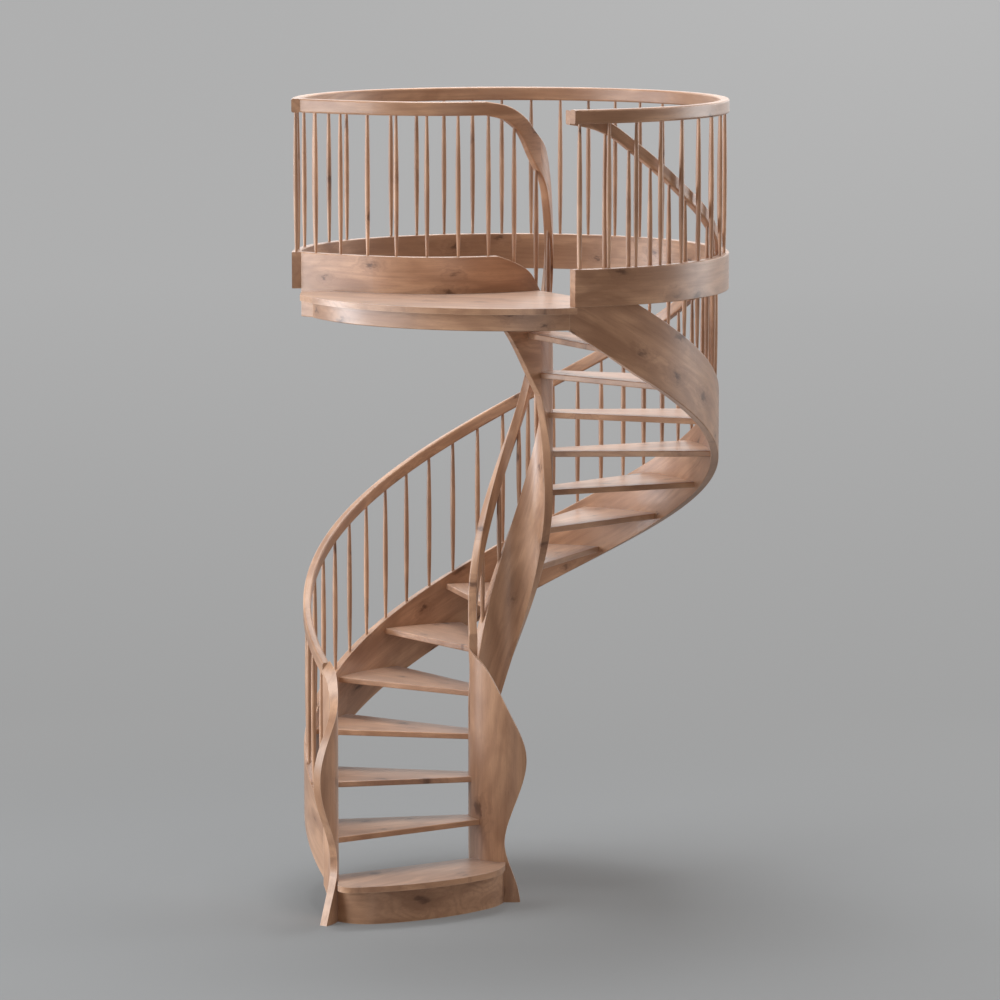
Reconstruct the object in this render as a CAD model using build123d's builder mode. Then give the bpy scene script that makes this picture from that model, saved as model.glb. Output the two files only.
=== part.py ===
from build123d import *
import os
from math import acos, atan2, degrees, hypot, radians

# Spiral staircase with open risers, two helical stringers, two spindle handrails, a landing platform
# and the ring guard of the stairwell above it.
# Millimetres, +Z up. The floor is at z = 0. The origin is the middle of the inner front panel's foot,
# and the axis of the stair stands behind it. Turning angles are counted clockwise, seen from above,
# from the front of the stair (-Y), and the stair climbs in that direction.

# ---- flight ----
rise = 198.0                    # height of one step
risers = 15                     # the last rise ends on the landing
step_angle = 21.0               # turn of one step
floor_height = rise * risers    # top of the landing
climb = rise / step_angle       # height gained per degree of turn
board = 28.0                    # thickness of treads and landing
seat_gap = 0.3                  # clearance between pieces that seat on each other

# ---- plan radii ----
inner_radius = 205.0            # outer face of the inner stringer
inner_thickness = 40.0
outer_radius = 1003.0           # outer face of the outer stringer
outer_thickness = 38.0
ring_thickness = 44.0           # kerb and rail of the stairwell ring
inner_mid = inner_radius - inner_thickness / 2
outer_mid = outer_radius - outer_thickness / 2
ring_inner = outer_radius + seat_gap
ring_outer = ring_inner + ring_thickness
ring_mid = ring_inner + ring_thickness / 2
tread_inner = inner_radius + seat_gap
tread_outer = outer_radius - outer_thickness - seat_gap

# ---- treads: turning angles of the edges of step 0, at the inner and the outer stringer ----
nosing_inner_angle = 5.3
nosing_outer_angle = 13.6
rear_inner_angle = 44.0
rear_outer_angle = 39.2
tread_rounding = 5.0

# ---- heights of the helical edges at turn 0 ----
outer_top = -86.0               # outer stringer, upper edge
outer_bottom = -418.0           # outer stringer, lower edge
inner_top = 84.0                # inner stringer, upper edge
inner_bottom = -590.0           # inner stringer, lower edge
outer_rail_top = 626.0          # outer handrail, upper edge
outer_rail_height = 66.0
inner_rail_top = 585.0          # inner handrail, upper edge
inner_rail_height = 158.0
edge_round = 4.0                # rounding of stringer and kerb edges
rail_round = 9.0                # rounding of handrail edges

# ---- stairwell ring and landing guard ----
kerb_height = 174.0
guard_height = 906.0
rail_width = 42.0
rail_height = 66.0
ring_end = 344.15               # turn at which the end cut crosses the stringer's outer face
end_cut = 329.0                 # direction of the end cut, as a turning angle
guard_thickness = 40.0
guard_radius = 706.0            # landing side of the landing guard, front arc
guard_meet = 315.0              # turn at which the guard leaves the inner stringer
guard_side = 245.0              # angle from +X at which the front arc passes into the side arc
guard_side_radius = 1600.0      # landing side of the landing guard, side arc
guard_depth = 134.0             # landing surface to the guard kerb's lower edge
landing_overhang = 62.0
landing_left = 78.0
landing_inset = 9.0             # left end of the landing, inside the stringer's outer face
landing_corner = 30.0
fascia_depth = 110.0            # landing surface to the fascia's lower edge

# ---- spindles ----
spindle_end = 7.0               # radius at the ends
spindle_middle = 12.5           # radius half-way up
ring_spindle_turn = 177.6       # turning angle of one spindle of the ring, and their pitch
ring_spindle_pitch = 8.22
outer_spindle_turn = 192.6      # turning angle of one spindle of the outer handrail, and their pitch
outer_spindle_pitch = 7.43
inner_spindle_turn = 102.3      # turning angle of the first spindle of the inner handrail, and their pitch
inner_spindle_pitch = 30.2

# ---- starting step and front panels ----
start_y = 383.5                 # centre of the curved front, behind the axis of the stair
start_centre_inset = 97.8       # the same centre, beyond the left end of the tread's front
start_reach = 247.6             # curved front of the tread, where it is level with the axis
start_overhang = 74.0           # tread's front to the riser's front
start_riser_thickness = 30.0
start_right = -25.0             # right end of the tread's front
start_left_corner = 70.0
start_right_corner = 340.0
riser_left_reach = 62.0         # left end of the riser's front, beyond the tread's front
riser_right = -20.0
riser_left_corner = 200.0
riser_right_corner = 350.0
outer_panel_turn = 61.0         # turn at which the outer panel leaves the stringer's circle
outer_panel_rear = 63.0
outer_flare_radius = 200.0
outer_panel_edge = 33.0         # direction in which the outer panel's edges are cut, clockwise from +X
inner_panel_rear = 75.0

# ---- curved edges near the head: turning angle, and share of the climb along that stretch ----
outer_rail_bend = [(305, 0), (315, 0.297), (325, 0.602), (332, 0.816), (338, 0.931), (346, 1)]
inner_rail_upper = [(190, 0), (220, 0.245), (240, 0.411), (260, 0.570), (270, 0.6535), (280, 0.738), (290, 0.846),
                    (301, 0.945), (308, 0.979), (315, 1)]
inner_rail_lower = [(190, 0), (220, 0.247), (240, 0.413), (260, 0.570), (270, 0.650), (280, 0.732), (290, 0.8355),
                    (301, 0.935), (308, 0.973), (315, 1)]
inner_top_bend = [(285, 0), (292.5, 0.278), (300, 0.562), (307.5, 0.794), (315, 1)]
inner_foot_bend = [(285, 0), (292.5, 0.312), (300, 0.540), (307.5, 0.762), (315, 1)]

# ---- the same along the guard, by the angle from the inner stringer ----
bend_upper = [(0, 0), (3.2, 0.225), (6.7, 0.5), (12.4, 0.77), (17.7, 0.91), (25, 1)]
bend_lower = [(0, 0), (2.6, 0.147), (5.2, 0.319), (7.2, 0.481), (9.6, 0.649), (12.4, 0.779), (17.7, 0.923), (25, 1)]
guard_top_bend = [(0, 0), (5, 0.492), (10, 0.726), (15, 0.877), (20, 1)]
guard_foot_bend = [(0, 0), (5, 0.251), (10, 0.535), (15, 0.797), (20, 1)]

# ---- heights of those edges, from the landing surface, where the inner stringer meets the guard ----
meet_rail_upper = 728.0
meet_rail_lower = 554.0
meet_top = -5.0
meet_foot = -508.0

axis_y = inner_mid              # the axis of the stair, behind the origin
centre = Vector(0, axis_y, 0)
up = Vector(0, 0, 1)
rail_level = floor_height + guard_height
stair_axis = Axis((0, axis_y, 0), (0, 0, 1))

os.makedirs("parts", exist_ok=True)


def save(piece, name):
    piece.part.label = name
    export_step(piece.part, f"parts/{name}.step")


def azimuth(turn):
    """Angle from +X, counter-clockwise, of a turning angle."""
    return -90 - turn


def level(height):
    """Horizontal plane on the axis of the stair."""
    return Plane(origin=centre + up * height)


def around(radius, turn):
    """Point in a level plane, by radius and turning angle."""
    return Vector(radius, 0).rotate(Axis.Z, azimuth(turn))


def upright(middle, radius, angle):
    """Vertical plane through a vertical line, its x axis pointing away from it."""
    outward = Vector(1, 0, 0).rotate(Axis.Z, angle)
    return Plane(origin=middle + outward * radius, x_dir=outward, z_dir=outward.cross(up))


def end_plane(shift):
    """Upright end cut at the head of the flight, moved on along the turn by a distance."""
    along = around(1, end_cut)
    onward = Vector(along.Y, -along.X)
    return Plane(origin=centre + around(outer_radius, ring_end) + onward * shift, z_dir=onward)


def ribbon(name, middle, radius, width, stations, rounding, cut=False):
    """Lofted band. Each station is an angle from +X, a lower height and an upper height."""
    with BuildPart() as band:
        for angle, bottom, top in stations:
            with BuildSketch(upright(middle, radius, angle)):
                with Locations((0, (bottom + top) / 2)):
                    RectangleRounded(width, top - bottom, rounding)
        loft()
        if cut:
            split(bisect_by=end_plane(0), keep=Keep.BOTTOM)
    save(band, name)


def spread(first, last, count):
    """Evenly spaced values from first to last, count steps."""
    return [first + (last - first) * i / count for i in range(count + 1)]


def stretch(shares, first, last):
    """Places with heights, from places with shares of the climb from one height to another."""
    return [(place, first + (last - first) * share) for place, share in shares]


def curve_height(points, value):
    """Height at a given place on a smooth curve through (place, height) points."""
    last = len(points) - 1
    grades = []
    for index in range(last + 1):
        before, after = points[max(index - 1, 0)], points[min(index + 1, last)]
        grades.append((after[1] - before[1]) / (after[0] - before[0]))
    index = 0
    while index < last - 1 and value > points[index + 1][0]:
        index += 1
    (start, low), (end, high) = points[index], points[index + 1]
    share = (value - start) / (end - start)
    rest = 1 - share
    return (low * (1 + 2 * share) * rest**2 + high * (3 - 2 * share) * share**2
            + (end - start) * share * rest * (grades[index] * rest - grades[index + 1] * share))


def curve_grade(points, value):
    """Height gained per unit of place on the same curve."""
    return (curve_height(points, value + 0.2) - curve_height(points, value - 0.2)) / 0.4


def helical(name, radius, width, first, last, bottom, top, rounding):
    """Helical band about the stair, with straight helices as lower and upper edges."""
    count = max(2, round(abs(last - first) / 15))
    stations = [(azimuth(turn), bottom + climb * turn, top + climb * turn) for turn in spread(first, last, count)]
    ribbon(name, centre, radius, width, stations, rounding)


# ---- plan of the landing guard: a front arc tangent to the inner stringer, then a flatter side arc ----
guard_offset = guard_radius - inner_radius
guard_plan = Vector(-guard_offset, 0).rotate(Axis.Z, azimuth(guard_meet))
guard_centre = centre + guard_plan
guard_mid = guard_radius - guard_thickness / 2
side_plan = guard_plan + Vector(guard_radius - guard_side_radius, 0).rotate(Axis.Z, guard_side)
side_centre = centre + side_plan
side_mid = guard_side_radius - guard_thickness / 2
side_end = guard_side - 40

# the ring starts where the side arc's face runs into the ring's inner face
side_distance = hypot(side_plan.X, side_plan.Y)
side_bend = degrees(acos((side_distance**2 + ring_inner**2 - guard_side_radius**2) / (2 * side_distance * ring_inner)))
ring_start = 270 - degrees(atan2(side_plan.Y, side_plan.X)) - side_bend

with BuildSketch() as guard_zone:
    with Locations((guard_plan.X, guard_plan.Y)):
        Circle(guard_radius + seat_gap)
    with BuildLine():
        side_arc = CenterArc((side_plan.X, side_plan.Y), guard_side_radius + seat_gap, guard_side, side_end - guard_side)
        Polyline(side_arc @ 1, (side_plan.X, side_plan.Y), side_arc @ 0)
    make_face()

# ---- plan of the outer front panel: it leaves the stringer's circle and flares outwards ----
flare_centre = around(outer_mid + outer_flare_radius, outer_panel_turn)

start_left = flare_centre.X + outer_flare_radius + outer_thickness / 2 - 1.5
start_x = start_left - start_centre_inset
start_radius = start_reach - start_x
riser_left = start_left - riser_left_reach

with BuildSketch() as panel_zone:
    with Locations((flare_centre.X, flare_centre.Y)):
        Circle(outer_flare_radius + outer_thickness / 2 + seat_gap)
    with BuildLine():
        beyond = CenterArc((0, 0), tread_outer, azimuth(90), 90 - outer_panel_turn)
        Polyline(beyond @ 1, around(1500, outer_panel_turn), around(1500, 90), beyond @ 0)
    make_face()


# ---- treads ----
def tread_outline(step):
    shift = step * step_angle
    nose = [around(inner_radius, nosing_inner_angle + shift), around(outer_radius, nosing_outer_angle + shift)]
    rear = [around(inner_radius, rear_inner_angle + shift), around(outer_radius, rear_outer_angle + shift)]
    corners = []
    for (near, far), ends in ((nose, (-0.12, 1.3)), (rear, (1.3, -0.12))):
        for end in ends:
            corners.append(near + (far - near) * end)
    return [(corner.X, corner.Y) for corner in corners]


for step in range(2, risers):
    with BuildPart() as tread:
        with BuildSketch(level(step * rise - board)):
            if step == 2:
                Circle(outer_radius + outer_thickness)
                add(panel_zone.sketch, mode=Mode.SUBTRACT)
            else:
                Circle(tread_outer)
            Circle(tread_inner, mode=Mode.SUBTRACT)
            Polygon(*tread_outline(step), align=None, mode=Mode.INTERSECT)
            if step == risers - 1:
                add(guard_zone.sketch, mode=Mode.SUBTRACT)
        extrude(amount=board)
        long_edges = tread.edges().filter_by(GeomType.LINE).filter_by(lambda edge: edge.length > 300)
        fillet(long_edges, tread_rounding)
    save(tread, f"tread_{step:02d}")

# ---- starting step ----
def start_outline(radius, left, right, left_corner, right_corner):
    """Area behind a curved front with rounded corners."""
    turn_left = -degrees(acos((left - start_x) / radius))
    turn_right = -degrees(acos((right - start_x) / radius))
    with BuildSketch() as outline:
        with BuildLine():
            front = CenterArc((start_x, start_y), radius, turn_left, turn_right - turn_left)
            Polyline(front @ 1, (right, 0), (left, 0), front @ 0)
        make_face()
        fillet(outline.vertices().group_by(Axis.X)[0].sort_by(Axis.Y)[0], left_corner)
        fillet(outline.vertices().group_by(Axis.X)[-1].sort_by(Axis.Y)[0], right_corner)
    return outline.sketch


tread_plan = start_outline(start_radius, start_left, start_right, start_left_corner, start_right_corner)
riser_front = start_outline(start_radius - start_overhang, riser_left, riser_right, riser_left_corner,
                            riser_right_corner)
riser_back = start_outline(start_radius - start_overhang - start_riser_thickness, riser_left + start_riser_thickness,
                           riser_right - start_riser_thickness, riser_left_corner - start_riser_thickness,
                           riser_right_corner - start_riser_thickness)

with BuildPart() as first_tread:
    with BuildSketch(level(rise - board)):
        add(tread_plan)
        with Locations((start_left, flare_centre.Y / 2)):
            Rectangle(200, -flare_centre.Y)
        Polygon(
            *[(point.X, point.Y) for point in (
                around(100, rear_inner_angle + step_angle),
                around(1400, rear_outer_angle + step_angle - 1),
                around(2400, 45),
                around(2400, 0),
            )],
            (start_right, 0),
            align=None,
            mode=Mode.INTERSECT,
        )
        Circle(tread_inner, mode=Mode.SUBTRACT)
        add(panel_zone.sketch, mode=Mode.SUBTRACT)
    extrude(amount=board)
save(first_tread, "tread_01")

with BuildPart() as start_riser:
    with BuildSketch(level(0)):
        add(riser_front)
        add(riser_back, mode=Mode.SUBTRACT)
        with Locations((riser_left, flare_centre.Y / 2 + 10)):
            Rectangle(400, -flare_centre.Y, mode=Mode.SUBTRACT)
        with Locations((0, 0)):
            Rectangle(200, inner_radius, mode=Mode.SUBTRACT)
        Circle(tread_inner, mode=Mode.SUBTRACT)
        add(panel_zone.sketch, mode=Mode.SUBTRACT)
    extrude(amount=rise - board - seat_gap)
save(start_riser, "starting_riser")

# ---- landing ----
landing_under = floor_height - board
landing_shift = risers * step_angle

end_way = around(1, end_cut)
end_point = end_plane(seat_gap).origin - centre
end_near, end_far = end_point - end_way * 100, end_point + end_way * 600

with BuildSketch() as head_zone:
    Polygon(
        *[(point.X, point.Y) for point in (
            end_near, end_far, around(1700, 320), around(1700, 300), around(500, 300),
        )],
        align=None,
    )
    Circle(tread_outer, mode=Mode.SUBTRACT)

with BuildPart() as landing:
    with BuildSketch(level(landing_under)) as landing_outline:
        Circle(outer_radius + landing_overhang)
        add(guard_zone.sketch, mode=Mode.SUBTRACT)
        nose_near = around(inner_radius, nosing_inner_angle + landing_shift)
        nose_far = around(outer_radius, nosing_outer_angle + landing_shift)
        nose_end = nose_near + (nose_far - nose_near) * 1.5
        left_end = around(1800, landing_left)
        Polygon(
            *[(point.X, point.Y) for point in (
                nose_near - (nose_far - nose_near) * 0.12,
                nose_end,
                around(2400, 0),
                around(2400, 45),
                left_end,
                around(300, landing_left),
            )],
            align=None,
            mode=Mode.INTERSECT,
        )
        with Locations((landing_inset - outer_radius + 1500, 0)):
            Rectangle(3000, 3000, mode=Mode.INTERSECT)
        add(head_zone.sketch, mode=Mode.SUBTRACT)
        fillet(landing_outline.vertices().group_by(Axis.X)[0].sort_by(Axis.Y)[0], landing_corner)
    extrude(amount=board)
save(landing, "landing_platform")


def ring_piece(name, first, last, inner, width, bottom, height, rounding, cut=None):
    """Piece of a level ring about the stair, between two turning angles or up to the end cut."""
    with BuildPart() as piece:
        with BuildSketch(upright(centre, 0, azimuth(last))):
            with Locations((inner + width / 2, bottom + height / 2)):
                RectangleRounded(width, height, rounding)
        revolve(axis=stair_axis, revolution_arc=last - first)
        if cut is not None:
            split(bisect_by=end_plane(seat_gap if cut == Keep.TOP else 0), keep=cut)
    save(piece, name)


fascia_bottom = floor_height - fascia_depth
fascia_height = landing_under - seat_gap - fascia_bottom
ring_piece("landing_fascia", ring_end - 363, 68.6, tread_outer + seat_gap, outer_thickness, fascia_bottom,
           fascia_height, edge_round, Keep.TOP)

# ---- stairwell ring ----
ring_cuts = spread(ring_start, ring_end, 3)
for number in range(3):
    first, last = ring_cuts[number], ring_cuts[number + 1]
    cut = None
    if number == 2:
        last, cut = ring_end + 3, Keep.BOTTOM
    ring_piece(f"ring_kerb_{number + 1}", first, last, ring_inner, ring_thickness, floor_height, kerb_height,
               edge_round, cut)
    ring_piece(f"ring_rail_{number + 1}", first, last, ring_inner, rail_width, rail_level - rail_height,
               rail_height, rail_round, cut)

# ---- stringers ----
outer_cuts = spread(outer_panel_rear, 300, 3)
for number in range(3):
    helical(f"outer_stringer_{number + 1}", outer_mid, outer_thickness, outer_cuts[number],
            outer_cuts[number + 1], outer_bottom, outer_top, edge_round)
cut_turn = (floor_height - outer_top) / climb
helical("outer_stringer_4", outer_mid, outer_thickness, outer_cuts[3], cut_turn, outer_bottom, outer_top, edge_round)
ribbon("outer_stringer_5", centre, outer_mid, outer_thickness,
       [(azimuth(turn), outer_bottom + climb * turn + 1.5 * (turn - cut_turn), floor_height)
        for turn in spread(cut_turn, ring_end + 3, 4)], edge_round, True)

helical("inner_stringer_1", inner_mid, inner_thickness, inner_panel_rear, 180, inner_bottom, inner_top, edge_round)
helical("inner_stringer_2", inner_mid, inner_thickness, 180, 285, inner_bottom, inner_top, edge_round)

upper_turn = inner_top_bend[0][0]
inner_top_rise = stretch(inner_top_bend, inner_top + climb * upper_turn, floor_height + meet_top)
inner_foot_rise = stretch(inner_foot_bend, inner_bottom + climb * upper_turn, floor_height + meet_foot)
guard_top_rise = stretch(guard_top_bend, floor_height + meet_top, floor_height + kerb_height)
guard_foot_rise = stretch(guard_foot_bend, floor_height + meet_foot, floor_height - guard_depth)
ribbon("inner_stringer_3", centre, inner_mid, inner_thickness,
       [(azimuth(turn), curve_height(inner_foot_rise, turn), curve_height(inner_top_rise, turn))
        for turn in spread(upper_turn, guard_meet, 4)], edge_round)
ribbon("inner_stringer_4", guard_centre, guard_mid, guard_thickness,
       [(guard_meet - place, curve_height(guard_foot_rise, place), curve_height(guard_top_rise, place))
        for place in spread(0, guard_foot_rise[-1][0], 10)], edge_round)

# ---- landing guard ----
def guard_piece(name, first, bottom, height, rounding):
    """Level piece along the landing guard, from an angle on the front arc to the ring."""
    middle = bottom + height / 2
    with BuildPart() as piece:
        with BuildSketch(upright(guard_centre, 0, guard_side)):
            with Locations((guard_mid, middle)):
                RectangleRounded(guard_thickness, height, rounding)
        revolve(axis=Axis(guard_centre, up), revolution_arc=first - guard_side)
        with BuildSketch(upright(side_centre, 0, side_end)):
            with Locations((side_mid, middle)):
                RectangleRounded(guard_thickness, height, rounding)
        revolve(axis=Axis(side_centre, up), revolution_arc=guard_side - side_end)
        with Locations(centre):
            Cylinder(ring_inner - seat_gap, 2 * (rail_level + rail_height), mode=Mode.INTERSECT)
    save(piece, name)


kerb_first = guard_meet - guard_foot_rise[-1][0]
bend_last = guard_meet - bend_upper[-1][0]
guard_piece("guard_kerb", kerb_first, floor_height - guard_depth, guard_depth + kerb_height, edge_round)
guard_piece("guard_rail", bend_last, rail_level - rail_height, rail_height, rail_round)
rail_upper_rise = stretch(bend_upper, floor_height + meet_rail_upper, rail_level)
rail_lower_rise = stretch(bend_lower, floor_height + meet_rail_lower, rail_level - rail_height)
ribbon("guard_rail_bend", guard_centre, guard_mid, guard_thickness,
       [(guard_meet - place, curve_height(rail_lower_rise, place), curve_height(rail_upper_rise, place))
        for place in spread(0, bend_upper[-1][0], 16)], rail_round)

# ---- handrails ----
bend_turn = outer_rail_bend[0][0]
outer_rail_end = stretch(outer_rail_bend, outer_rail_top + climb * bend_turn, rail_level)
rail_cuts = spread(outer_panel_rear, bend_turn, 3)
for number in range(3):
    helical(f"outer_handrail_{number + 1}", outer_mid, outer_thickness, rail_cuts[number], rail_cuts[number + 1],
            outer_rail_top - outer_rail_height, outer_rail_top, rail_round)
ribbon("outer_handrail_4", centre, outer_mid, outer_thickness,
       [(azimuth(turn), curve_height(outer_rail_end, turn) - outer_rail_height, curve_height(outer_rail_end, turn))
        for turn in spread(bend_turn, outer_rail_end[-1][0], 20)], rail_round, True)

upper_turn = inner_rail_upper[0][0]
upper_start = inner_rail_top + climb * upper_turn
upper_rise = stretch(inner_rail_upper, upper_start, floor_height + meet_rail_upper)
lower_rise = stretch(inner_rail_lower, upper_start - inner_rail_height, floor_height + meet_rail_lower)
helical("inner_handrail_1", inner_mid, inner_thickness, inner_panel_rear, upper_turn,
        inner_rail_top - inner_rail_height, inner_rail_top, rail_round)
ribbon("inner_handrail_2", centre, inner_mid, inner_thickness,
       [(azimuth(turn), curve_height(lower_rise, turn), curve_height(upper_rise, turn))
        for turn in spread(upper_turn, guard_meet, 25)], rail_round)

# ---- front panels ----
edge_way = Vector(1, 0, 0).rotate(Axis.Z, -outer_panel_edge)
edge_run = edge_way.rotate(Axis.Z, -90)
edge_plane = Plane(origin=centre + flare_centre, x_dir=edge_run, z_dir=-edge_way)

with BuildPart() as outer_panel:
    with BuildSketch(level(0)):
        with BuildLine() as main_band:
            outside = CenterArc((0, 0), outer_radius, azimuth(outer_panel_rear), outer_panel_rear - outer_panel_turn)
            inside = CenterArc((0, 0), outer_radius - outer_thickness, azimuth(outer_panel_rear),
                               outer_panel_rear - outer_panel_turn)
            Line(outside @ 0, inside @ 0)
            Line(outside @ 1, inside @ 1)
        make_face()
        flare_start = azimuth(outer_panel_turn) + 180
        with BuildLine() as flare_band:
            near = CenterArc((flare_centre.X, flare_centre.Y), outer_flare_radius - outer_thickness / 2,
                             flare_start, -100)
            far = CenterArc((flare_centre.X, flare_centre.Y), outer_flare_radius + outer_thickness / 2,
                            flare_start, -100)
            Line(near @ 0, far @ 0)
            Line(near @ 1, far @ 1)
        make_face()
    extrude(amount=1600)
    rear_run = (around(outer_mid, outer_panel_rear) - flare_centre).dot(edge_run) - 30
    with BuildSketch(edge_plane):
        with BuildLine() as wave:
            rear_bottom = (rear_run, outer_bottom + climb * (outer_panel_rear + 2))
            rear_top = (rear_run, outer_rail_top + climb * (outer_panel_rear + 2))
            front = Spline((31, 0), (-28, 150), (-72, 245), (10, 485), (64, 730), (-12, 925), (-130, 1080),
                           rear_top, tangents=[(-0.3, 1), (-0.8, 0.6)])
            Line(rear_top, rear_bottom)
            under = Spline(rear_bottom, (-142, 60), (-114, 0), tangents=[(0.9, -0.5), (0.3, -1)])
            Line((-114, 0), (31, 0))
        make_face()
    extrude(amount=1500, both=True, mode=Mode.INTERSECT)
save(outer_panel, "outer_front_panel")

with BuildPart() as inner_panel:
    with BuildSketch(level(0)):
        with BuildLine() as inner_band:
            outside = CenterArc((0, 0), inner_radius, azimuth(inner_panel_rear), inner_panel_rear + 60)
            inside = CenterArc((0, 0), inner_radius - inner_thickness, azimuth(inner_panel_rear),
                               inner_panel_rear + 60)
            Line(outside @ 0, inside @ 0)
            Line(outside @ 1, inside @ 1)
        make_face()
    extrude(amount=1600)
    with BuildSketch(Plane(origin=(0, axis_y, 0), x_dir=(1, 0, 0), z_dir=(0, -1, 0))):
        with BuildLine() as inner_wave:
            rear_top = (-230, inner_rail_top + climb * inner_panel_rear + 30)
            Spline((47, 0), (-28, 280), (78, 705), (-2, 924), (-141, 1164), rear_top,
                   tangents=[(-0.1, 1), (-0.2, 1)])
            Polyline(rear_top, (-230, inner_bottom + climb * inner_panel_rear), (-60, 0), (47, 0))
        make_face()
    extrude(amount=400, mode=Mode.INTERSECT)
save(inner_panel, "inner_front_panel")


# ---- spindles ----
def spindle(foot, head, foot_slope=0, head_slope=0):
    """Tapered spindle between two seats on the z axis, its ends cut along the slope of the seats.

    A slope is the height gained per millimetre along -Y."""
    foot += 2 * seat_gap * hypot(1, foot_slope)
    head -= 2 * seat_gap * hypot(1, head_slope)
    low = foot - spindle_end * foot_slope - 1
    high = head + spindle_end * head_slope + 1
    with BuildPart() as turned:
        with BuildSketch(Plane.XZ):
            with BuildLine():
                Polyline((spindle_end, low), (0, low), (0, high), (spindle_end, high))
                ThreePointArc((spindle_end, high), (spindle_middle, (low + high) / 2), (spindle_end, low))
            make_face()
        revolve(axis=Axis.Z)
        for end, slope, side in ((foot, foot_slope, Align.MAX), (head, head_slope, Align.MIN)):
            with Locations(Plane(origin=(0, 0, end), x_dir=(1, 0, 0), z_dir=Vector(0, slope, 1).normalized())):
                Box(30 * spindle_end, 30 * spindle_end, 30 * spindle_end, align=(Align.CENTER, Align.CENTER, side),
                    mode=Mode.SUBTRACT)
    return turned.part


def spindle_row(name, entries):
    """Spindles of one node. Each entry is a circle's middle, a radius, an angle and a spindle."""
    with BuildPart() as row:
        for middle, radius, angle, piece in entries:
            outward = Vector(1, 0, 0).rotate(Axis.Z, angle)
            with Locations(Plane(origin=middle + outward * radius, x_dir=outward, z_dir=up)):
                add(piece)
    save(row, name)


kerb_top = floor_height + kerb_height
level_spindle = spindle(kerb_top, rail_level - rail_height)

ring_turns = [ring_spindle_turn + ring_spindle_pitch * number for number in range(-11, 21)]
ring_entries = [(centre, ring_mid, azimuth(turn), level_spindle) for turn in ring_turns if turn > ring_start + 0.5]
spindle_row("ring_spindles_1", ring_entries[:11])
spindle_row("ring_spindles_2", ring_entries[11:22])
spindle_row("ring_spindles_3", ring_entries[22:])

# on the outer stringer; past its level top the feet stand on that, near the head the handrail bends
outer_entries = []
for number in range(-17, 21):
    turn = outer_spindle_turn + outer_spindle_pitch * number
    foot = min(outer_top + climb * turn, floor_height)
    foot_grade = climb if foot < floor_height else 0
    if turn < bend_turn:
        head, head_grade = outer_rail_top + climb * turn, climb
    else:
        head, head_grade = curve_height(outer_rail_end, turn), curve_grade(outer_rail_end, turn)
    head -= outer_rail_height
    outer_entries.append((centre, outer_mid, azimuth(turn), spindle(
        foot, head, foot_grade / radians(outer_mid), head_grade / radians(outer_mid))))
spindle_row("outer_spindles_1", outer_entries[:13])
spindle_row("outer_spindles_2", outer_entries[13:26])
spindle_row("outer_spindles_3", outer_entries[26:])

inner_entries = []
for number in range(7):
    turn = inner_spindle_turn + inner_spindle_pitch * number
    if turn < upper_turn:
        head, head_grade = inner_rail_top - inner_rail_height + climb * turn, climb
    else:
        head, head_grade = curve_height(lower_rise, turn), curve_grade(lower_rise, turn)
    inner_entries.append((centre, inner_mid, azimuth(turn), spindle(
        inner_top + climb * turn, head, climb / radians(inner_mid), head_grade / radians(inner_mid))))
spindle_row("inner_spindles", inner_entries)

# on the guard: first along its rising end, then on the level kerb
guard_entries = []
for place in (1, 12.2, 23.6):
    foot, foot_grade = kerb_top, 0
    if place < guard_top_rise[-1][0]:
        foot, foot_grade = curve_height(guard_top_rise, place), curve_grade(guard_top_rise, place)
    guard_entries.append((guard_centre, guard_mid, guard_meet - place, spindle(
        foot, curve_height(rail_lower_rise, place), foot_grade / radians(guard_mid),
        curve_grade(rail_lower_rise, place) / radians(guard_mid))))
for angle in (279.05, 266.7, 254.35):
    guard_entries.append((guard_centre, guard_mid, angle, level_spindle))
for angle in (243.7, 238.3, 232.97):
    foot_point = side_plan + Vector(side_mid, 0).rotate(Axis.Z, angle)
    if foot_point.length < ring_inner - 2 * spindle_middle:
        guard_entries.append((side_centre, side_mid, angle, level_spindle))
spindle_row("guard_spindles", guard_entries)
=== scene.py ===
from math import atan, cos, pi, radians, sin

import bpy
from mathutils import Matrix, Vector


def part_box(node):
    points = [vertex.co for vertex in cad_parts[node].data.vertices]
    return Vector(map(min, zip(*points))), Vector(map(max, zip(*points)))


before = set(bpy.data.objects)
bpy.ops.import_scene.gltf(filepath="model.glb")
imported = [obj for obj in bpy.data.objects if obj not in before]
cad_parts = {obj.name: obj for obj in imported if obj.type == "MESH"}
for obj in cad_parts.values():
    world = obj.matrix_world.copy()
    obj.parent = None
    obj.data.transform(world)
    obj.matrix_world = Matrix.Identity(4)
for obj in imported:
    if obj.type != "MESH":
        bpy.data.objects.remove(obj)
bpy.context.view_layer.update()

# The stair's axis, its climb in a whole turn, and the circles that its members follow.
AXIS = Vector((0.0, 0.185, 0.0))
LEAD = 3.3943
INNER = 0.185
OUTER = 0.984
RING = 1.024
GUARD_CENTRE = AXIS + Vector((-0.3543, 0.3543, 0.0))
GUARD = 0.686

# Colours of the wood, scene linear.
PALE_WOOD = (0.555, 0.306, 0.176, 1)
WARM_WOOD = (0.375, 0.188, 0.099, 1)
LATE_WOOD = (0.30, 0.140, 0.074, 1)
STREAK = (0.26, 0.116, 0.058, 1)
FIBRE = (0.25, 0.110, 0.055, 1)
KNOT_HALO = (0.24, 0.108, 0.052, 1)
KNOT_CORE = (0.115, 0.042, 0.016, 1)
PORE = (0.14, 0.062, 0.032, 1)
# A painted highlight for the edges, standing in for light caught on their rounding.
PAINTED_EDGE_HIGHLIGHT = (0.68, 0.46, 0.32, 1)

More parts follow.
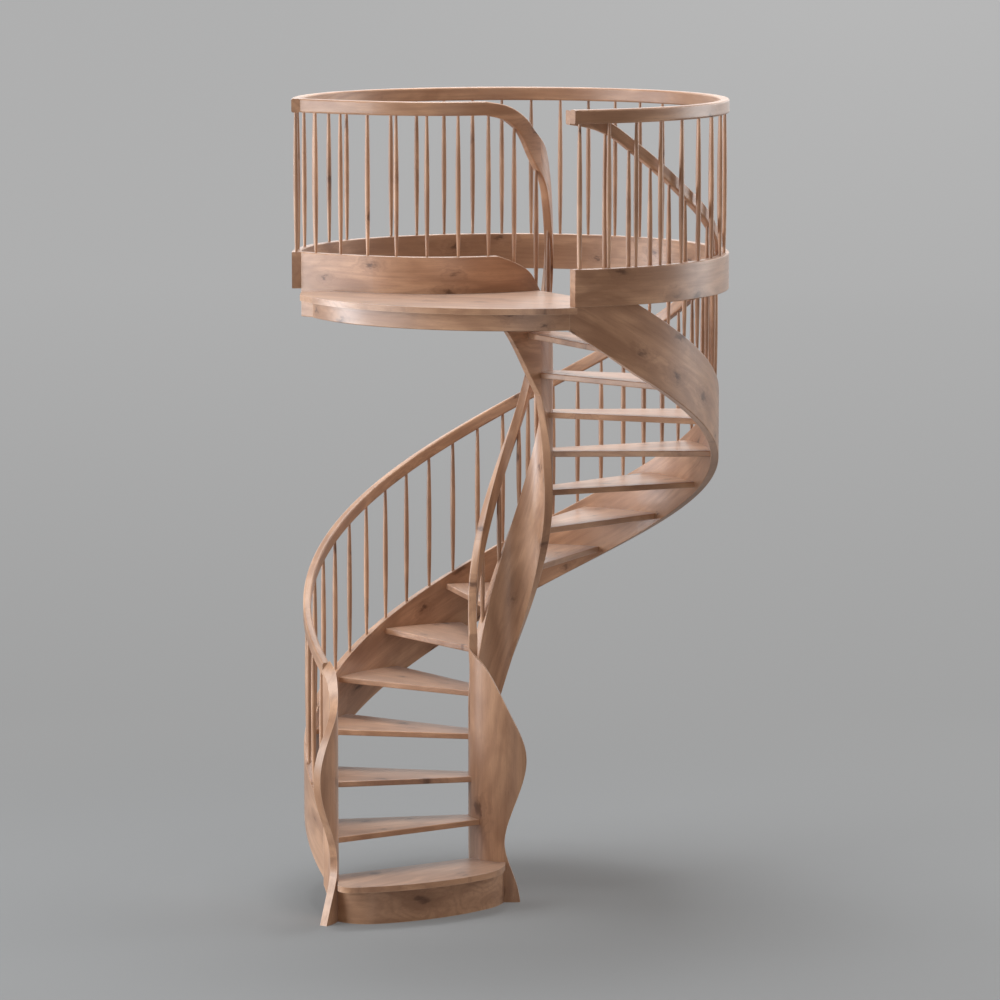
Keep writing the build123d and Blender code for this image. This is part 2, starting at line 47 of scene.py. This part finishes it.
# How much of each shows at most.
LATE_WOOD_SHARE = 0.30
STREAK_SHARE = 0.30
FIBRE_SHARE = 0.18
KNOT_HALO_SHARE = 0.42
KNOT_CORE_SHARE = 0.88
PORE_SHARE = 0.30
PAINTED_EDGE_HIGHLIGHT_SHARE = 0.45

# How far the grain wavers and a knot's outline wanders, in metres.
GRAIN_WAVER = 0.05
KNOT_WANDER = 0.085

# Cells that may hold a knot: their relative number along, across and through the wood, the number
# a metre that it multiplies, and the least and greatest size of a knot in its cell.
KNOT_CELLS = (1.5, 2.9, 1.0)
KNOT_SCALE = 2.4
SMALL_KNOT, LARGE_KNOT = 0.45, 1.25

# Rings between the darkest and the palest slow noise, and how many more bend round a knot.
RINGS = 13.0
RINGS_ROUND_KNOT = 2.2

# The painted edge highlight's width, in metres, and how far from a joint it ends.
EDGE_WIDTH = 0.005
JOINT = 0.007


# ---------------------------------------------------------------- node helpers
class Tree:
    """A few shorthands for building a node tree."""

    def __init__(self, tree):
        self.tree = tree

    def node(self, kind, **settings):
        node = self.tree.nodes.new(kind)
        for key, value in settings.items():
            setattr(node, key, value)
        return node

    def put(self, socket, value):
        if isinstance(value, bpy.types.NodeSocket):
            self.tree.links.new(value, socket)
        else:
            socket.default_value = value

    def fill(self, node, values):
        for socket, value in zip(node.inputs, values):
            self.put(socket, value)
        return node

    def math(self, operation, *values):
        return self.fill(self.node("ShaderNodeMath", operation=operation), values).outputs[0]

    def vector(self, operation, *values):
        return self.fill(self.node("ShaderNodeVectorMath", operation=operation), values).outputs[0]

    def combine(self, x, y, z):
        return self.fill(self.node("ShaderNodeCombineXYZ"), (x, y, z)).outputs[0]

    def split(self, vector):
        return self.fill(self.node("ShaderNodeSeparateXYZ"), (vector,)).outputs

    def noise(self, vector, density, detail, roughness=0.5, distortion=0.0):
        """Noise with its own number of features a metre along each axis."""
        node = self.node("ShaderNodeTexNoise", noise_dimensions="3D")
        self.put(node.inputs["Vector"], self.vector("MULTIPLY", vector, density))
        node.inputs["Scale"].default_value = 1.0
        node.inputs["Detail"].default_value = detail
        node.inputs["Roughness"].default_value = roughness
        node.inputs["Distortion"].default_value = distortion
        return node.outputs

    def shift(self, noise, reach):
        """A shift in any direction, from the colour of a noise."""
        centred = self.vector("SUBTRACT", noise["Color"], (0.5, 0.5, 0.5))
        scaled = self.vector("SCALE", centred)
        scaled.node.inputs["Scale"].default_value = reach
        return scaled

    def span(self, value, low, high, to_low=0.0, to_high=1.0, smooth=True):
        """The value's place between low and high, on a new scale and held at its ends."""
        curve = "SMOOTHSTEP" if smooth else "LINEAR"
        node = self.node("ShaderNodeMapRange", interpolation_type=curve, clamp=True)
        return self.fill(node, (value, low, high, to_low, to_high)).outputs[0]

    def mix(self, factor, first, second):
        node = self.node("ShaderNodeMix", data_type="RGBA")
        self.put(node.inputs[0], factor)
        self.put(node.inputs[6], first)
        self.put(node.inputs[7], second)
        return node.outputs[2]

    def radius(self, x, y):
        squares = self.math("ADD", self.math("MULTIPLY", x, x), self.math("MULTIPLY", y, y))
        return self.math("SQRT", squares)

    def finish(self, shader):
        output = self.node("ShaderNodeOutputMaterial")
        self.put(output.inputs["Surface"], shader)


def new_material(name):
    material = bpy.data.materials.new(name)
    material.use_nodes = True
    material.node_tree.nodes.clear()
    return material, Tree(material.node_tree)


# ---------------------------------------------------------------- timber
def timber_group():
    """Wood from a vector whose x runs along the grain, in metres: colour, roughness and height."""
    group = bpy.data.node_groups.new("timber", "ShaderNodeTree")
    for name, direction, kind in (
            ("Grain", "INPUT", "Vector"), ("Tone", "INPUT", "Float"), ("Color", "OUTPUT", "Color"),
            ("Roughness", "OUTPUT", "Float"), ("Height", "OUTPUT", "Float")):
        group.interface.new_socket(name, in_out=direction, socket_type=f"NodeSocket{kind}")
    t = Tree(group)
    grain, tone = t.node("NodeGroupInput").outputs[:2]
    result = t.node("NodeGroupOutput")

    # slow waver of the grain
    wavy = t.vector("ADD", grain, t.shift(t.noise(grain, (1.1, 3.0, 3.0), 2.0), GRAIN_WAVER))

    # knots: a few cells of a stretched pattern, which run through the board's thickness
    ragged = t.shift(t.noise(grain, (15.0, 30.0, 6.0), 3.0, 0.65), KNOT_WANDER)
    knots = t.node("ShaderNodeTexVoronoi", voronoi_dimensions="2D", feature="F1")
    cells = t.vector("MULTIPLY", t.vector("ADD", wavy, ragged), KNOT_CELLS)
    t.put(knots.inputs["Vector"], cells)
    knots.inputs["Scale"].default_value = KNOT_SCALE
    chance, size, _ = t.split(knots.outputs["Color"])
    chosen = t.span(chance, 0.44, 0.62)
    knot_size = t.span(size, 0.0, 1.0, SMALL_KNOT, LARGE_KNOT, smooth=False)
    near = t.math("DIVIDE", knots.outputs["Distance"], knot_size)
    halo = t.math("MULTIPLY", t.span(near, 0.46, 0.06), chosen)
    core = t.math("MULTIPLY", t.span(near, 0.16, 0.02), chosen)

    # growth rings, drawn round the knots
    slow = t.noise(wavy, (0.55, 4.2, 4.2), 1.0)[0]
    bend = t.math("MULTIPLY", halo, RINGS_ROUND_KNOT)
    rings = t.math("ADD", t.math("MULTIPLY", slow, RINGS), bend)
    wave = t.math("SINE", t.math("MULTIPLY", rings, 2 * pi))
    band = t.math("MULTIPLY_ADD", wave, 0.5, 0.5)

    # streaks, fibres and pores lie along the grain, and clouds of paler wood across it
    streak = t.noise(wavy, (2.2, 58.0, 58.0), 3.0, 0.6)[0]
    fibre = t.noise(wavy, (9.0, 420.0, 420.0), 2.0, 0.6)[0]
    pores = t.span(t.noise(grain, (34.0, 900.0, 900.0), 1.0)[0], 0.6, 0.72)
    cloud = t.noise(wavy, (2.6, 7.5, 1.6), 2.5, 0.6, 0.6)[0]

    colour = t.mix(t.span(cloud, 0.34, 0.64), WARM_WOOD, PALE_WOOD)
    for mask, share, stain in (
            (t.span(band, 0.35, 1.0), LATE_WOOD_SHARE, LATE_WOOD),
            (t.span(streak, 0.42, 0.72), STREAK_SHARE, STREAK),
            (t.span(fibre, 0.45, 0.75), FIBRE_SHARE, FIBRE),
            (halo, KNOT_HALO_SHARE, KNOT_HALO),
            (core, KNOT_CORE_SHARE, KNOT_CORE),
            (pores, PORE_SHARE, PORE)):
        colour = t.mix(t.math("MULTIPLY", mask, share), colour, stain)
    shade = t.node("ShaderNodeHueSaturation")
    t.put(shade.inputs["Value"], tone)
    t.put(shade.inputs["Color"], colour)
    t.put(result.inputs["Color"], shade.outputs[0])

    # streaks and knots are rougher; fibres stand up a little, pores and knots lie deeper
    rough = t.math("ADD", t.span(streak, 0.3, 0.8, 0.46, 0.56), t.math("MULTIPLY", core, 0.1))
    t.put(result.inputs["Roughness"], rough)
    height = t.math("SUBTRACT", t.math("MULTIPLY", fibre, 0.5), pores)
    t.put(result.inputs["Height"], t.math("SUBTRACT", height, t.math("MULTIPLY", core, 0.6)))
    return group


TIMBER = timber_group()


def place(t, centre, turn):
    """Object coordinates about a vertical line, turned so that +X points at that turn."""
    where = t.node("ShaderNodeTexCoord").outputs["Object"]
    moved = t.vector("SUBTRACT", where, tuple(centre))
    rotate = t.node("ShaderNodeVectorRotate", rotation_type="Z_AXIS")
    t.put(rotate.inputs["Vector"], moved)
    rotate.inputs["Angle"].default_value = -turn
    return rotate.outputs[0]


def straight(turn, way, start):
    """Grain along a flat board, across an upright front, or up an upright board."""
    def build(t):
        x, y, z = t.split(place(t, AXIS, turn))
        along, across, deep = {"flat": (x, y, z), "front": (x, z, y), "upright": (z, x, y)}[way]
        return t.combine(t.math("ADD", along, start), across, deep)
    return build


def bent(centre, radius, turn, slope, start):
    """Grain that follows a circle or a helix about a vertical line, seen unrolled."""
    def build(t):
        x, y, z = t.split(place(t, centre, turn))
        angle = t.math("ARCTAN2", y, x)
        arc = t.math("MULTIPLY", t.math("ADD", angle, turn), -radius)
        rise, run = sin(slope), cos(slope)
        along = t.math("ADD", t.math("MULTIPLY", arc, run), t.math("MULTIPLY", z, rise))
        across = t.math("SUBTRACT", t.math("MULTIPLY", z, run), t.math("MULTIPLY", arc, rise))
        return t.combine(t.math("ADD", along, start), across, t.radius(x, y))
    return build


def painted_edge_highlights(t, stretch):
    """A mask of painted highlight along the edges, without those at the two ends of a stretch of a
    circle.
    """
    bevel = t.node("ShaderNodeBevel", samples=4)
    bevel.inputs["Radius"].default_value = EDGE_WIDTH
    true_normal = t.node("ShaderNodeNewGeometry").outputs["Normal"]
    facing = t.node("ShaderNodeVectorMath", operation="DOT_PRODUCT")
    t.fill(facing, (bevel.outputs[0], true_normal))
    edge = t.math("MULTIPLY", t.span(facing.outputs["Value"], 0.995, 0.9), PAINTED_EDGE_HIGHLIGHT_SHARE)
    if stretch:
        centre, turn, low, high = stretch
        x, y, _ = t.split(place(t, centre, turn))
        angle = t.math("ARCTAN2", y, x)
        after_low = t.math("GREATER_THAN", angle, low)
        before_high = t.math("LESS_THAN", angle, high)
        edge = t.math("MULTIPLY", edge, t.math("MULTIPLY", after_low, before_high))
    return edge


def timber(name, grain, tone=1.0, vary=0.0, stretch=None):
    """A wood material for one node. Where vary is set, the pieces in the node differ in tone.

    A stretch is the part of a circle that the node takes up. Its two ends are joints, where no
    painted edge highlight shows.
    """
    material, t = new_material(name)
    group = t.node("ShaderNodeGroup", node_tree=TIMBER)
    t.put(group.inputs["Grain"], grain(t))
    if vary:
        # slow noise, stretched upwards, that gives each upright piece one value
        where = t.node("ShaderNodeTexCoord").outputs["Object"]
        patch = t.noise(where, (9.0, 9.0, 0.3), 0.0)[0]
        tone = t.span(patch, 0.3, 0.7, tone - vary, tone + vary, smooth=False)
    t.put(group.inputs["Tone"], tone)
    # painted highlight: the edges are made paler, as if they caught the light
    colour = t.mix(painted_edge_highlights(t, stretch), group.outputs["Color"], PAINTED_EDGE_HIGHLIGHT)

    bump = t.node("ShaderNodeBump")
    bump.inputs["Strength"].default_value = 0.25
    bump.inputs["Distance"].default_value = 0.0006
    t.put(bump.inputs["Height"], group.outputs["Height"])
    surface = t.node("ShaderNodeBsdfPrincipled")
    t.put(surface.inputs["Base Color"], colour)
    t.put(surface.inputs["Roughness"], group.outputs["Roughness"])
    t.put(surface.inputs["Normal"], bump.outputs[0])
    surface.inputs["Specular IOR Level"].default_value = 0.4
    surface.inputs["Coat Weight"].default_value = 0.65
    surface.inputs["Coat Roughness"].default_value = 0.32
    surface.inputs["Sheen Weight"].default_value = 0.18
    surface.inputs["Sheen Roughness"].default_value = 0.45
    t.finish(surface.outputs[0])
    return material


def dress(name, material):
    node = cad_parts[name]
    node.data.materials.clear()
    node.data.materials.append(material)


def turn_of(name, centre):
    """Angle from +X at which a node lies, seen from a vertical line."""
    low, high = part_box(name)
    middle = (Vector(low) + Vector(high)) / 2 - centre
    return middle.to_2d().angle_signed(Vector((1, 0)))


def stretch_of(name, centre, radius):
    """Where a node lies on a circle: centre, middle turn, and first and last angle from it.

    JOINT metres at each end are left out.
    """
    turn = turn_of(name, centre)
    heading = Vector((cos(turn), sin(turn)))
    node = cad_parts[name]
    places = [(node.matrix_world @ vertex.co - centre).to_2d() for vertex in node.data.vertices]
    angles = [-spot.angle_signed(heading) for spot in places]
    trim = JOINT / radius
    return centre, turn, min(angles) + trim, max(angles) - trim


OUTER_SLOPE = atan(LEAD / (2 * pi * OUTER))
INNER_SLOPE = atan(LEAD / (2 * pi * INNER))

# Long members: the start of the name, the circle and the slope that they follow, and where their
# grain starts, in metres, so that a rail doesn't repeat the board below it.
RUNS = (
    ("outer_stringer", AXIS, OUTER, OUTER_SLOPE, 0.0),
    ("outer_handrail", AXIS, OUTER, OUTER_SLOPE, 9.0),
    ("inner_stringer_4", GUARD_CENTRE, GUARD, 0.0, 0.0),
    ("guard_kerb", GUARD_CENTRE, GUARD, 0.0, 0.0),
    ("guard_rail", GUARD_CENTRE, GUARD, 0.0, 5.0),
    ("inner_stringer", AXIS, INNER, INNER_SLOPE, 0.0),
    ("inner_handrail", AXIS, INNER, INNER_SLOPE, 7.0),
    ("ring_kerb", AXIS, RING, 0.0, 13.0),
    ("ring_rail", AXIS, RING, 0.0, 20.0),
    ("landing_fascia", AXIS, RING, 0.0, 13.0),
)

# Boards that lie some other way than upright and square to the front: the turn of their grain in
# plan, in degrees, and the way they lie.
BOARDS = {
    "starting_riser": (-15, "front"),
    "landing_platform": (-20, "flat"),
    "outer_front_panel": (-123, "upright"),
}

# Separate pieces differ a little in tone, and each starts at its own place in the wood.
TONE_SWING = 0.06
TONE_STEP = 2.4
START_STEP = 3.7
SPINDLE_VARY = 0.09


def wood_of(index, name):
    """The material of a node."""
    for beginning, centre, radius, slope, start in RUNS:
        if name.startswith(beginning):
            grain = bent(centre, radius, turn_of(name, centre), slope, start)
            jointed = beginning != "landing_fascia"
            stretch = stretch_of(name, centre, radius) if jointed else None
            return timber(f"timber_{name}", grain, stretch=stretch)
    if name.startswith("tread_"):
        turn, way = turn_of(name, AXIS), "flat"
    else:
        degrees, way = BOARDS.get(name, (0, "upright"))
        turn = radians(degrees)
    tone = 1.0 + TONE_SWING * sin(index * TONE_STEP)
    vary = SPINDLE_VARY if "spindles" in name else 0.0
    return timber(f"timber_{name}", straight(turn, way, START_STEP * index), tone, vary)


for index, name in enumerate(sorted(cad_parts)):
    dress(name, wood_of(index, name))


# ---------------------------------------------------------------- floor and backdrop
def paper():
    """Grey paper that shows partly a glow, painted paler upwards and to the right, and partly the
    lamps' light and shadows.
    """
    material, t = new_material("paper")
    x, y, z = t.split(t.node("ShaderNodeNewGeometry").outputs["Position"])
    path = t.node("ShaderNodeLightPath").outputs

    # painted light: the glow's grey gets paler with height and, on the wall, towards the right
    by_height = t.span(z, 0.0, 2.2, 0.372, 0.452, smooth=False)
    on_wall = t.span(z, 2.0, 4.0, smooth=False)
    to_right = t.math("MULTIPLY", on_wall, t.span(x, -2.5, 2.5, 0.01, 0.058))
    grey = t.math("ADD", by_height, to_right)
    # reflections see a glow painted brighter on the upper wall and darker on the floor
    level = t.mix(path["Is Glossy Ray"], grey, t.span(z, 0.8, 5.0, 0.12, 1.9))
    glow = t.node("ShaderNodeEmission")
    t.put(glow.inputs["Color"], level)

    # the lamps' light and shadows show near the stair, and less of them further away
    seen = t.math("MAXIMUM", path["Is Camera Ray"], path["Is Glossy Ray"])
    seen = t.math("MAXIMUM", seen, path["Is Transmission Ray"])
    share = t.span(t.radius(x, y), 1.5, 5.5, 0.25, 0.85)
    diffuse = t.node("ShaderNodeBsdfDiffuse")
    # its diffuse grey is painted a little paler towards the right, as for a little more light
    # there
    t.put(diffuse.inputs["Color"], t.span(x, -3.0, 3.0, 0.255, 0.300, smooth=False))
    factor = t.math("MULTIPLY", seen, share)
    blend = t.fill(t.node("ShaderNodeMixShader"), (factor, diffuse.outputs[0], glow.outputs[0]))

    # from behind the sheet isn't there
    behind = t.node("ShaderNodeNewGeometry").outputs["Backfacing"]
    nothing = t.node("ShaderNodeBsdfTransparent").outputs[0]
    one_sided = t.fill(t.node("ShaderNodeMixShader"), (behind, blend.outputs[0], nothing))
    t.finish(one_sided.outputs[0])
    return material


def backdrop():
    """A seamless sheet: floor, a wide bend and a wall."""
    half_width, front, back, bend, top = 14.0, -16.0, 5.0, 4.0, 14.0
    steps = 32
    profile = [(front, 0.0)]
    for i in range(steps + 1):
        angle = radians(90) * i / steps
        profile.append((back + bend * sin(angle), bend * (1 - cos(angle))))
    profile.append((back + bend, top))
    corners = [(side * half_width, y, z) for y, z in profile for side in (-1, 1)]
    faces = [(2 * i, 2 * i + 1, 2 * i + 3, 2 * i + 2) for i in range(len(profile) - 1)]
    mesh = bpy.data.meshes.new("backdrop")
    mesh.from_pydata(corners, [], faces)
    for polygon in mesh.polygons:
        polygon.use_smooth = True
    sheet = bpy.data.objects.new("backdrop", mesh)
    bpy.context.scene.collection.objects.link(sheet)
    mesh.materials.append(paper())


backdrop()

# ---------------------------------------------------------------- light
WHOLE_STAIR = (0.0, 0.2, 1.8)
LOWER_STAIR = (0.0, 0.2, 1.0)

# Soft square lamps: name, place, aim, side, watts and colour.
LAMPS = (
    ("key", (-9.0, -3.6, 4.6), WHOLE_STAIR, 5.0, 630, (0.93, 1.0, 1.05)),
    ("fill", (1.5, -10.0, 1.0), LOWER_STAIR, 3.0, 100, (1.0, 0.98, 0.95)),
    ("side", (-9.5, 1.0, 1.6), LOWER_STAIR, 3.0, 400, (0.92, 1.0, 1.08)),
    ("rim", (8.0, 3.0, 4.0), WHOLE_STAIR, 4.0, 255, (0.95, 0.98, 1.0)),
    ("above", (0.0, 1.5, 10.0), WHOLE_STAIR, 4.0, 640, (0.95, 1.0, 1.04)),
)


def lamp(name, spot, aim, side, power, colour):
    data = bpy.data.lights.new(name, "AREA")
    data.shape = "SQUARE"
    data.size = side
    data.energy = power
    data.color = colour
    item = bpy.data.objects.new(name, data)
    item.location = spot
    item.visible_camera = False
    item.rotation_euler = (Vector(aim) - Vector(spot)).to_track_quat("-Z", "Y").to_euler()
    bpy.context.scene.collection.objects.link(item)


for settings in LAMPS:
    lamp(*settings)

# The air is a little warm, neutral where the camera sees it, and weaker in reflections.
AIR_STRENGTH = 0.87
AIR_LESS_IN_REFLECTIONS = 0.62
world = bpy.data.worlds.new("studio")
world.use_nodes = True
air = Tree(world.node_tree)
background = world.node_tree.nodes["Background"]
path = air.node("ShaderNodeLightPath").outputs
air.put(background.inputs["Color"],
        air.mix(path["Is Camera Ray"], (0.450, 0.415, 0.385, 1), (0.48, 0.48, 0.48, 1)))
air.put(background.inputs["Strength"],
        air.math("MULTIPLY_ADD", path["Is Glossy Ray"], -AIR_LESS_IN_REFLECTIONS, AIR_STRENGTH))
bpy.context.scene.world = world

# ---------------------------------------------------------------- camera
# A long lens from well in front, looking down a little on the middle of the stair.
LOOKING_DOWN = 7.94
lens = bpy.data.cameras.new("camera")
lens.sensor_width = 36.0
lens.lens = 171.7
lens.shift_x = -0.0104
lens.clip_end = 200.0
camera = bpy.data.objects.new("camera", lens)
camera.location = (0.0, -22.625, 5.12)
camera.rotation_euler = (radians(90 - LOOKING_DOWN), 0.0, 0.0)
bpy.context.scene.collection.objects.link(camera)
bpy.context.scene.camera = camera

bpy.context.scene.view_settings.view_transform = "Standard"
